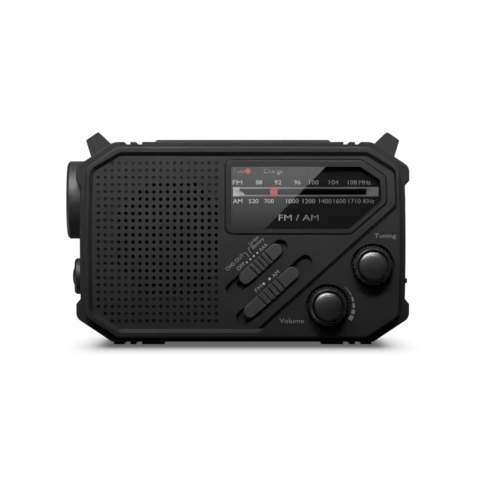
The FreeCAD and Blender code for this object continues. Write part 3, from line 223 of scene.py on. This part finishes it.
def glow(name, base, strength, rough=0.3):
    m = bpy.data.materials.new(name)
    nt = clear(m)
    out = node(nt, "ShaderNodeOutputMaterial")
    bs = node(nt, "ShaderNodeBsdfPrincipled")
    link(nt, bs.outputs[0], out.inputs["Surface"])
    co = node(nt, "ShaderNodeTexCoord").outputs["Object"]
    n1 = noise(nt, co, 900.0, 2.0)
    col = mix_color(nt, map_range(nt, n1, 0.3, 0.7, 0, 1), tuple(c * 0.92 for c in base), base)
    link(nt, col, bs.inputs["Base Color"])
    link(nt, map_range(nt, n1, 0.3, 0.7, rough - 0.05, rough + 0.05), bs.inputs["Roughness"])
    if strength > 0:
        link(nt, col, bs.inputs["Emission Color"])
        bs.inputs["Emission Strength"].default_value = strength
    return m


def ink(name, base, rough=0.55, painted_glow=0.0, shade_drift=None):
    """Screen-printed ink: slightly uneven coverage, an optional painted glow (emission) that lifts the print, and an
    optional painted shade: a drift of tone along X towards a given colour.
    """
    m = bpy.data.materials.new(name)
    nt = clear(m)
    out = node(nt, "ShaderNodeOutputMaterial")
    bs = node(nt, "ShaderNodeBsdfPrincipled")
    link(nt, bs.outputs[0], out.inputs["Surface"])
    co = node(nt, "ShaderNodeTexCoord").outputs["Object"]
    n1 = noise(nt, co, 2600.0, 2.0, 0.6)
    n2 = noise(nt, co, 120.0, 2.0, 0.5)
    col = mix_color(nt, map_range(nt, n2, 0.3, 0.7, 0, 1), tuple(c * 0.90 for c in base), tuple(min(1, c * 1.06) for c in base))
    # painted shade: the print's tone drifts along X towards the shade colour
    if shade_drift:
        sp = node(nt, "ShaderNodeSeparateXYZ")
        link(nt, co, sp.inputs[0])
        col = mix_color(nt, map_range(nt, sp.outputs["X"], SX + shade_drift[0] * MM, SX + shade_drift[1] * MM, 0, 1), col, shade_drift[2])
    link(nt, col, bs.inputs["Base Color"])
    link(nt, map_range(nt, n1, 0.3, 0.7, rough - 0.08, rough + 0.08), bs.inputs["Roughness"])
    # painted glow: the print emits light though it is no lamp
    if painted_glow:
        link(nt, col, bs.inputs["Emission Color"])
        bs.inputs["Emission Strength"].default_value = painted_glow
    return m


def solar_cells(name):
    """Dark blue cell strips with silver fingers and busbars under a clear face."""
    m = bpy.data.materials.new(name)
    nt = clear(m)
    out = node(nt, "ShaderNodeOutputMaterial")
    bs = node(nt, "ShaderNodeBsdfPrincipled")
    link(nt, bs.outputs[0], out.inputs["Surface"])
    co = node(nt, "ShaderNodeTexCoord").outputs["Object"]
    sp = node(nt, "ShaderNodeSeparateXYZ")
    link(nt, co, sp.inputs[0])
    lo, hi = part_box("solar_panel")
    x = math_node(nt, "SUBTRACT", sp.outputs["X"], lo.x)
    y = math_node(nt, "SUBTRACT", sp.outputs["Y"], lo.y)

    def stripe(v, pitch, width, start=0.0):
        f = math_node(nt, "FRACT", math_node(nt, "DIVIDE", math_node(nt, "SUBTRACT", v, start), pitch))
        return math_node(nt, "LESS_THAN", math_node(nt, "ABSOLUTE", math_node(nt, "SUBTRACT", f, 0.5)), width / pitch / 2)
    cell_w = (hi.x - lo.x) / 8
    fingers = stripe(y, 0.0018, 0.00012)
    bus = stripe(x, cell_w, 0.0011)
    gap = stripe(x, cell_w, 0.0009, cell_w / 2)
    crystal = node(nt, "ShaderNodeTexVoronoi")
    crystal.inputs["Scale"].default_value = 420.0
    link(nt, co, crystal.inputs["Vector"])
    blue = mix_color(nt, math_node(nt, "MULTIPLY", crystal.outputs["Distance"], 1.2, True), (0.010, 0.014, 0.045), (0.020, 0.030, 0.085))
    c1 = mix_color(nt, fingers, blue, (0.30, 0.31, 0.33))
    c2 = mix_color(nt, bus, c1, (0.42, 0.43, 0.45))
    c3 = mix_color(nt, gap, c2, (0.012, 0.012, 0.013))
    link(nt, c3, bs.inputs["Base Color"])
    bs.inputs["Roughness"].default_value = 0.35
    bs.inputs["Coat Weight"].default_value = 1.0
    bs.inputs["Coat Roughness"].default_value = 0.05
    bn = node(nt, "ShaderNodeBump")
    bn.inputs["Strength"].default_value = 0.12
    bn.inputs["Distance"].default_value = 0.00005
    link(nt, crystal.outputs["Distance"], bn.inputs["Height"])
    link(nt, bn.outputs[0], bs.inputs["Normal"])
    return m


M = {
    "case": moulded("case_plastic", (0.028, 0.028, 0.029), 0.60, grain=0.24, bump=0.12, spec=0.16, edge_highlight=0.12),
    # the panel's holes carry painted shade, darker with depth
    "panel": moulded("panel_plastic", (0.032, 0.032, 0.033), 0.60, grain=0.22, bump=0.12, spec=0.16, edge_highlight=0.10, recess_shade=(2.03, 2.25, 0.50)),
    "band": moulded("band_rubber", (0.014, 0.014, 0.0145), 0.70, grain=0.30, bump=0.30, spec=0.25, edge_highlight=0.10),
    "bezel": moulded("bezel_plastic", (0.026, 0.026, 0.027), 0.52, grain=0.20, bump=0.12, spec=0.20, edge_highlight=0.12),
    "knob": moulded("knob_plastic", (0.030, 0.030, 0.031), 0.40, grain=0.18, bump=0.08, spec=0.50, edge_highlight=0.25),
    "slider": moulded("slider_plastic", (0.062, 0.062, 0.063), 0.55, grain=0.18, bump=0.10, spec=0.30, edge_highlight=0.15),
    "gloss": moulded("gloss_black", (0.018, 0.018, 0.019), 0.56, grain=0.5, bump=0.0, spec=0.42, edge_highlight=0.0, coat=0.0, rough_var=0.03),
    "dome": moulded("dome_black", (0.030, 0.030, 0.031), 0.36, grain=0.5, bump=0.0, spec=1.0, edge_highlight=0.0, rough_var=0.02),
    "dial": moulded("dial_black", (0.004, 0.004, 0.0042), 0.60, grain=0.3, bump=0.05, spec=0.25, edge_highlight=0.0),
    "lens": window("dial_window", (0.95, 0.95, 0.95), 1.5, 0.004, 0.004, 0.14),
    "torch_clear": window("torch_window", (0.97, 0.97, 0.97), 1.5, 0.02, 0.02),
    # painted glow: the pointer is no lamp, yet its red emits at strength 0.10
    "pointer": glow("pointer_red", (0.74, 0.16, 0.15), 0.10, 0.35),
    "led": glow("led_red", (0.85, 0.14, 0.11), 0.52, 0.25),
    "chrome": metal("reflector_chrome", (0.82, 0.82, 0.83), 0.06),
    "aerial": metal("aerial_chrome", (0.66, 0.66, 0.68), 0.12, brushed=(0.02, 1, 1), scale=900.0),
    "steel": metal("steel_plain", (0.55, 0.55, 0.56), 0.28, scale=500.0),
    "brass": metal("brass_plain", (0.70, 0.52, 0.24), 0.25, scale=500.0),
    "nylon": moulded("nylon_white", (0.72, 0.71, 0.66), 0.42, grain=0.3, bump=0.08, edge_highlight=0.0, spec=0.45),
    "board": moulded("board_green", (0.015, 0.110, 0.045), 0.35, grain=0.4, bump=0.08, edge_highlight=0.0),
    "paper": moulded("cone_paper", (0.006, 0.006, 0.006), 0.85, grain=0.5, bump=0.5, edge_highlight=0.0, spec=0.2),
    "painted": moulded("painted_black", (0.008, 0.008, 0.008), 0.6, grain=0.4, bump=0.1, edge_highlight=0.0, spec=0.2),
    "wrap": moulded("cell_wrap", (0.04, 0.16, 0.34), 0.35, grain=0.6, bump=0.04, edge_highlight=0.0),
    "ferrite": moulded("ferrite_grey", (0.05, 0.05, 0.052), 0.55, grain=0.3, bump=0.3, edge_highlight=0.0),
    "string": moulded("cord_string", (0.10, 0.16, 0.10), 0.80, grain=0.2, bump=0.6, edge_highlight=0.0, spec=0.2),
    "solar": solar_cells("solar_cells"),
    # the dial inks carry a painted glow, and the lettering and track a painted shade that darkens them towards the
    # right
    "ink_dial": ink("ink_dial", (0.95, 0.95, 0.95), 0.6, 0.04, (18, 42, (0.27, 0.27, 0.27))),
    "ink_bar": ink("ink_bar", (0.44, 0.44, 0.44), 0.6, 0.03, (-5, 42, (0.18, 0.18, 0.18))),
    "ink_bar_end": ink("ink_bar_end", (0.72, 0.72, 0.72), 0.6, 0.01),
    "ink_panel": ink("ink_panel", (0.26, 0.26, 0.26), 0.6),
    "ink_switch": ink("ink_switch", (0.30, 0.30, 0.30), 0.6),
    "ink_low": ink("ink_low", (0.34, 0.34, 0.34), 0.6),
    "ink_white": ink("ink_white", (0.52, 0.52, 0.52), 0.6),
}
NODE_MAT = {
    "front_housing": "case", "rear_housing": "case", "front_panel": "panel", "front_bumper": "band", "rear_bumper": "band",
    "strap_lug_left": "case", "strap_lug_right": "case", "rubber_feet": "band", "housing_screws": "steel",
    "display_bezel": "bezel", "display_lens": "lens", "dial_plate": "dial", "tune_led": "led", "dial_pointer": "pointer",
    "solar_frame": "bezel", "solar_panel": "solar", "tuning_knob": "knob", "tuning_knob_cap": "dome", "volume_knob": "knob",
    "volume_knob_cap": "dome", "tuning_spindle": "brass", "volume_shaft": "steel", "tuning_capacitor": "nylon", "volume_pot": "steel",
    "cord_pulley_left": "nylon", "cord_pulley_right": "nylon", "dial_cord": "string", "dial_bracket": "bezel",
    "power_slider": "slider", "band_slider": "slider", "power_switch_body": "case", "band_switch_body": "case",
    "speaker_basket": "painted", "speaker_cone": "paper", "main_board": "board", "lithium_cell": "wrap", "aaa_cells": "steel",
    "battery_contacts": "steel", "battery_door": "case", "ferrite_rod": "ferrite", "torch_bezel": "gloss", "torch_lens": "torch_clear",
    "torch_reflector": "chrome", "torch_led_board": "board", "button_collar": "gloss", "torch_button": "gloss", "port_cover": "band",
    "usb_sockets": "steel", "headphone_jack": "bezel", "crank_gear": "nylon", "idler_gear": "nylon", "generator_rotor": "steel",
    "generator_frame": "steel", "crank_arm": "case", "grip_pin": "steel", "crank_grip": "knob", "antenna_knuckle": "aerial",
    "antenna_tube_outer": "aerial", "antenna_tube_middle": "aerial", "antenna_tip_rod": "aerial",
}
for nm, o in NODES.items():
    mt = M[NODE_MAT[nm]]
    if not o.material_slots:
        o.data.materials.append(mt)
    for s in o.material_slots:
        s.material = mt

# ------------------------------------------------------------------ prints
ANG = math.radians(42.0)


def new_mesh(name, verts, faces, mat, body="case"):
    me = bpy.data.meshes.new(name)
    me.from_pydata([tuple(v) for v in verts], [], faces)
    me.update()
    o = bpy.data.objects.new(name, me)
    SC.collection.objects.link(o)
    me.materials.append(M[mat])
    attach(o, body)
    return o


def text_mesh(body, x, z, height, width=None, angle=0.0, anchor="left"):
    """Flat text outline in case millimetres: returns (verts2d, faces) with cap height and, if given,
    overall width forced, turned by angle about its anchor point."""
    cu = bpy.data.curves.new("t", "FONT")
    cu.body = body
    cu.size = 1.0
    cu.resolution_u = 3
    ob = bpy.data.objects.new("t", cu)
    SC.collection.objects.link(ob)
    dg = bpy.context.evaluated_depsgraph_get()
    dg.update()
    me = bpy.data.meshes.new_from_object(ob.evaluated_get(dg))
    vs = [(v.co.x, v.co.y) for v in me.vertices]
    fs = [tuple(p.vertices) for p in me.polygons]
    bpy.data.objects.remove(ob)
    bpy.data.curves.remove(cu)
    bpy.data.meshes.remove(me)
    x0, x1 = min(v[0] for v in vs), max(v[0] for v in vs)
    cap = 0.729  # cap height of the built-in font at size 1
    sy = height / cap
    sx = (width / (x1 - x0)) if width else sy
    out = []
    off = {"left": x0, "mid": (x0 + x1) / 2, "right": x1}[anchor]
    ca, sa = math.cos(angle), math.sin(angle)
    for vx, vy in vs:
        px, pz = (vx - off) * sx, (vy - (cap / 2 if anchor == "mid" else 0)) * sy
        out.append((x + px * ca - pz * sa, z + px * sa + pz * ca))
    return out, fs


def rect(x0, x1, z0, z1):
    return [(x0, z0), (x1, z0), (x1, z1), (x0, z1)], [(0, 1, 2, 3)]


def disc(x, z, r, n=28):
    return [(x + r * math.cos(2 * math.pi * i / n), z + r * math.sin(2 * math.pi * i / n)) for i in range(n)], [tuple(range(n))]


def arc_band(cx, cz, r0, r1, r2, r3, a0, a1, n=14):
    """Curved tapering bar about (cx, cz): inner/outer radii r0..r1 at a0 and r2..r3 at a1 (degrees)."""
    vs, fs = [], []
    for i in range(n + 1):
        t = i / n
        a = math.radians(a0 + (a1 - a0) * t)
        for r in (r0 + (r2 - r0) * t, r1 + (r3 - r1) * t):
            vs.append((cx + r * math.cos(a), cz + r * math.sin(a)))
    for i in range(n):
        fs.append((2 * i, 2 * i + 1, 2 * i + 3, 2 * i + 2))
    return vs, fs


def printed(name, shapes, y, mat, body="case", thick=0.02):
    """Joins flat outlines into one thin printed layer that faces the front at depth y."""
    vs, fs = [], []
    for v2, f2 in shapes:
        base = len(vs)
        vs += [P(x, y, z) for x, z in v2]
        fs += [tuple(base + i for i in f) for f in f2]
    me_faces = []
    for f in fs:
        nrm = Vector((0, 0, 0))
        for i in range(1, len(f) - 1):
            nrm += (vs[f[i]] - vs[f[0]]).cross(vs[f[i + 1]] - vs[f[0]])
        me_faces.append(f if nrm.y < 0 else tuple(reversed(f)))
    o = new_mesh(name, vs, me_faces, mat, body)
    sol = o.modifiers.new("ink_thickness", "SOLIDIFY")
    sol.thickness = thick * MM
    sol.offset = -1
    return o


YD = 4.88   # just in front of the dial plate
YP = 1.975  # just in front of the recessed panel
YB = -0.02  # just in front of the knob plateau

H = 2.35
dial = []
for txt, x0, x1, z in (("Tune", -5.1, 1.1, 89.35), ("Charge", 11.0, 20.9, 89.35)):
    dial.append(text_mesh(txt, x0, z, 2.25, x1 - x0))
for txt, x0, x1 in (("FM", -5.2, -0.3), ("88", 6.8, 10.1), ("92", 16.5, 20.2), ("96", 26.8, 30.2), ("100", 34.7, 39.6),
                    ("104", 45.0, 49.9), ("108", 54.9, 59.6), ("MHz", 60.6, 66.7)):
    dial.append(text_mesh(txt, x0, 83.4, H, x1 - x0))
for txt, x0, x1 in (("AM", -5.1, -0.2), ("520", 3.1, 8.2), ("700", 11.3, 16.2), ("1000", 22.7, 29.1), ("1200", 31.3, 37.7),
                    ("1400", 39.9, 46.3), ("1600", 47.4, 53.7), ("1710", 55.2, 61.5), ("KHz", 63.0, 68.7)):
    dial.append(text_mesh(txt, x0, 73.6, H, x1 - x0))
dial.append(text_mesh("FM / AM", 18.8, 64.6, 3.2, 20.8))
printed("dial_lettering", dial, YD, "ink_dial")
# printed track round the pointer's slot
bar = [rect(-1.5, 70.8, 81.12, 82.0), rect(-1.5, 70.8, 77.2, 77.93), rect(64.45, 70.8, 77.93, 81.12)]
printed("dial_track", bar, YD, "ink_bar")
printed("dial_track_end", [rect(-5.1, -1.62, 77.2, 82.0)], YD, "ink_bar_end")

panel = []
panel.append(text_mesh("Tuning", 68.4, 55.6, 2.3, 11.3))
printed("tuning_label", panel, YB, "ink_panel")
printed("volume_label", [text_mesh("Volume", 19.1, 11.2, 2.6, 12.7)], YB, "ink_low")
sw = [text_mesh("OFF", -1.0, 40.8, 2.0, 5.1, ANG, "mid"), text_mesh("CHG OUT", -4.2, 42.9, 2.0, 12.0, ANG, "mid"),
      text_mesh("Li-ion", 5.6, 54.3, 2.0, 6.0, ANG, "mid"), text_mesh("Battery", 7.8, 53.0, 2.0, 7.6, ANG, "mid"),
      text_mesh("AAA", 10.6, 50.7, 2.0, 5.2, ANG, "mid"), text_mesh("FM", 8.2, 29.3, 2.1, 4.2, ANG, "mid"),
      text_mesh("AM", 17.1, 36.8, 2.1, 4.2, ANG, "mid")]


def stroke(x0, z0, x1, z1, w=0.24):
    dx, dz = x1 - x0, z1 - z0
    ln = math.hypot(dx, dz)
    nx, nz = -dz / ln * w / 2, dx / ln * w / 2
    return [(x0 + nx, z0 + nz), (x1 + nx, z1 + nz), (x1 - nx, z1 - nz), (x0 - nx, z0 - nz)], [(0, 1, 2, 3)]


sw += [stroke(0.4, 47.4, 1.7, 47.8), stroke(1.7, 47.8, 3.2, 45.6), stroke(3.6, 50.9, 3.0, 49.6), stroke(3.0, 49.6, 4.6, 47.2)]
printed("switch_lettering", sw, YP, "ink_switch")
dots = [disc(*p, 0.5) for p in ((2.13, 42.8), (4.0, 44.4), (5.8, 46.1), (7.6, 47.7))]
dots += [disc(*p, 0.65) for p in ((10.9, 31.6), (14.0, 34.2))]
printed("switch_dots", dots, YP - 0.01, "ink_white")
vx, vz = 44.25, 19.9
arcs = []
for a0, a1, t0, t1 in ((49.7, 25.5, 0.1, 0.6), (22, 10.8, 0.8, 0.9), (7, -3.4, 1.2, 1.35), (-7.4, -16.5, 1.6, 1.75), (-20.5, -31.5, 2.0, 2.2)):
    arcs.append(arc_band(vx, vz, 13.45 - t0 / 2, 13.45 + t0 / 2, 13.45 - t1 / 2, 13.45 + t1 / 2, a0, a1))
printed("volume_wedge", arcs, YB, "ink_low")

# ------------------------------------------------------------------ stage
def stage_plane(name, verts, mat):
    me = bpy.data.meshes.new(name)
    me.from_pydata(verts, [], [tuple(range(len(verts)))])
    me.update()
    o = bpy.data.objects.new(name, me)
    SC.collection.objects.link(o)
    me.materials.append(mat)
    return o


def plain(name, color, rough=0.9):
    m = bpy.data.materials.new(name)
    nt = clear(m)
    out = node(nt, "ShaderNodeOutputMaterial")
    bs = node(nt, "ShaderNodeBsdfPrincipled")
    bs.inputs["Base Color"].default_value = (*color, 1)
    bs.inputs["Roughness"].default_value = rough
    bs.inputs["Specular IOR Level"].default_value = 0.0
    link(nt, bs.outputs[0], out.inputs["Surface"])
    return m


def emitter(name, strength, grad=None):
    """Light card. grad = (axis, from, to, low, high) fades it along one object axis."""
    m = bpy.data.materials.new(name)
    nt = clear(m)
    out = node(nt, "ShaderNodeOutputMaterial")
    em = node(nt, "ShaderNodeEmission")
    em.inputs["Strength"].default_value = strength
    if grad:
        co = node(nt, "ShaderNodeTexCoord").outputs["Object"]
        sp = node(nt, "ShaderNodeSeparateXYZ")
        link(nt, co, sp.inputs[0])
        link(nt, map_range(nt, sp.outputs[grad[0]], grad[1], grad[2], grad[3] * strength, grad[4] * strength), em.inputs["Strength"])
    link(nt, em.outputs[0], out.inputs["Surface"])
    return m


def floor_with_painted_shadow(name):
    """White sweep with a painted soft shadow round the standing case's foot line."""
    m = bpy.data.materials.new(name)
    nt = clear(m)
    out = node(nt, "ShaderNodeOutputMaterial")
    em = node(nt, "ShaderNodeEmission")
    co = node(nt, "ShaderNodeTexCoord").outputs["Object"]
    sp = node(nt, "ShaderNodeSeparateXYZ")
    link(nt, co, sp.inputs[0])
    cx, cyy = SX, SY + 28 * MM
    dx = math_node(nt, "SUBTRACT", math_node(nt, "ABSOLUTE", math_node(nt, "SUBTRACT", sp.outputs["X"], cx)), 65 * MM)
    dy = math_node(nt, "SUBTRACT", math_node(nt, "ABSOLUTE", math_node(nt, "SUBTRACT", sp.outputs["Y"], cyy)), 26 * MM)
    dx = math_node(nt, "MULTIPLY", math_node(nt, "MAXIMUM", dx, 0.0), 6.0)
    dy = math_node(nt, "MAXIMUM", dy, 0.0)
    dist = math_node(nt, "SQRT", math_node(nt, "ADD", math_node(nt, "MULTIPLY", dx, dx), math_node(nt, "MULTIPLY", dy, dy)))
    painted_shadow_ramp = node(nt, "ShaderNodeValToRGB")
    link(nt, math_node(nt, "DIVIDE", dist, 0.2, True), painted_shadow_ramp.inputs[0])
    els = painted_shadow_ramp.color_ramp.elements
    stops = ((0.0, 0.125), (0.12, 0.14), (0.19, 0.21), (0.26, 0.35), (0.325, 0.51), (0.40, 0.66), (0.50, 0.80), (0.65, 0.92), (0.85, 0.985), (1.0, 1.0))
    els[0].position, els[0].color = stops[0][0], (stops[0][1],) * 3 + (1,)
    els[1].position, els[1].color = stops[-1][0], (stops[-1][1],) * 3 + (1,)
    for pos, v in stops[1:-1]:
        e = els.new(pos)
        e.color = (v, v, v, 1)
    link(nt, painted_shadow_ramp.outputs[0], em.inputs["Color"])
    em.inputs["Strength"].default_value = 1.03
    link(nt, em.outputs[0], out.inputs["Surface"])
    return m


floor = stage_plane("floor", [(-4, -3, 0), (4, -3, 0), (4, 4, 0), (-4, 4, 0)], floor_with_painted_shadow("floor_white_painted_shadow"))
floor.visible_diffuse = False
floor.visible_glossy = False
floor.visible_shadow = False
back = stage_plane("backdrop", [(-6, 4, -2), (6, 4, -2), (6, 4, 6), (-6, 4, 6)], emitter("backdrop_white", 1.03))
back.visible_diffuse = False
back.visible_glossy = False
back.visible_shadow = False

CAM_DIST = 1.6
cam_x, cam_z = SX - 2.2 * MM, 55.2 * MM
cam_y = SY - CAM_DIST

# the card that the dial window mirrors: its slanting side makes the bright and dark halves
cy = cam_y + 0.78


def mirrored(px, pz, y_face=2.8):
    """Where the camera's ray that is mirrored at (px, pz) on the window meets the card's plane."""
    p = P(px, y_face, pz)
    t = (p.y - cy) / (p.y - cam_y)
    k = 1 + (p.y - cy) / (p.y - cam_y)
    return (cam_x + (p.x - cam_x) * k, cy, cam_z + (p.z - cam_z) * k)


card_pts = [mirrored(-14, 100), mirrored(50.5, 100), mirrored(11.3, 60.0), mirrored(5, 53.6), mirrored(-14, 53.6)]
zt_, zb_ = mirrored(0, 93)[2], mirrored(0, 60)[2]
card = stage_plane("light_card", card_pts, emitter("card_glow", 0.50, ("Z", zb_, zt_, 0.19, 1.0)))
card.visible_camera = False
card.visible_shadow = False
card.visible_diffuse = False
flag_y = cam_y + 0.02
flag = stage_plane("black_flag", [(-1.2, flag_y, -0.9), (1.2, flag_y, -0.9), (1.2, flag_y, 0.45), (-1.2, flag_y, 0.45)], plain("flag_black", (0.002, 0.002, 0.002)))
flag.visible_camera = False
flag.visible_shadow = False
flag.visible_diffuse = False


def area(name, loc, target, sx, sy, power, shape="RECTANGLE", color=(1, 1, 1)):
    li = bpy.data.lights.new(name, "AREA")
    li.shape = shape
    li.size = sx
    li.size_y = sy
    li.energy = power
    li.color = color
    o = bpy.data.objects.new(name, li)
    SC.collection.objects.link(o)
    o.location = loc
    d = Vector(target) - Vector(loc)
    o.rotation_euler = d.to_track_quat("-Z", "Y").to_euler()
    o.visible_camera = False
    return o


key = area("key_top", (-0.025, SY - 0.194, 0.30), (-0.025, SY, 0.122), 0.46, 0.08, 0.27)
key.data.spread = math.radians(40)
area("top_soft", (0.0, 0.10, 0.8), (0, 0.0, 0.0), 0.8, 0.8, 0.28)
area("back_soft", (0.35, 1.2, 0.45), (0.0, 0.0, 0.05), 0.9, 0.9, 5.0)
area("left_soft", (-0.9, -0.45, 0.30), (0.0, 0.0, 0.06), 0.8, 0.9, 0.12)
area("left_low", (-0.45, 0.10, -0.24), (-0.085, 0.0, 0.05), 0.4, 0.4, 1.0)
glint = area("dome_glint", (-0.17, SY - 0.24, 0.42), (0.055, SY, 0.03), 0.26, 0.26, 3.2)
glint.visible_diffuse = False

area("floor_bounce", (0.0, -0.40, -0.36), (0.0, SY, 0.02), 0.9, 0.3, 0.10)
w = bpy.data.worlds.new("studio")
SC.world = w
w.use_nodes = True
bg = w.node_tree.nodes["Background"]
bg.inputs["Color"].default_value = (1, 1, 1, 1)
bg.inputs["Strength"].default_value = 0.012

SC.view_settings.view_transform = "Standard"
SC.view_settings.look = "None"
SC.view_settings.exposure = 0.0
SC.view_settings.gamma = 1.0

cam = bpy.data.cameras.new("camera")
cam.sensor_width = 36.0
cam.lens = 36.0 * CAM_DIST / 0.248
cam.clip_start = 0.05
cam.clip_end = 30
co = bpy.data.objects.new("camera", cam)
SC.collection.objects.link(co)
co.location = (cam_x, cam_y, cam_z)
co.rotation_euler = (math.radians(90), 0, 0)
SC.camera = co
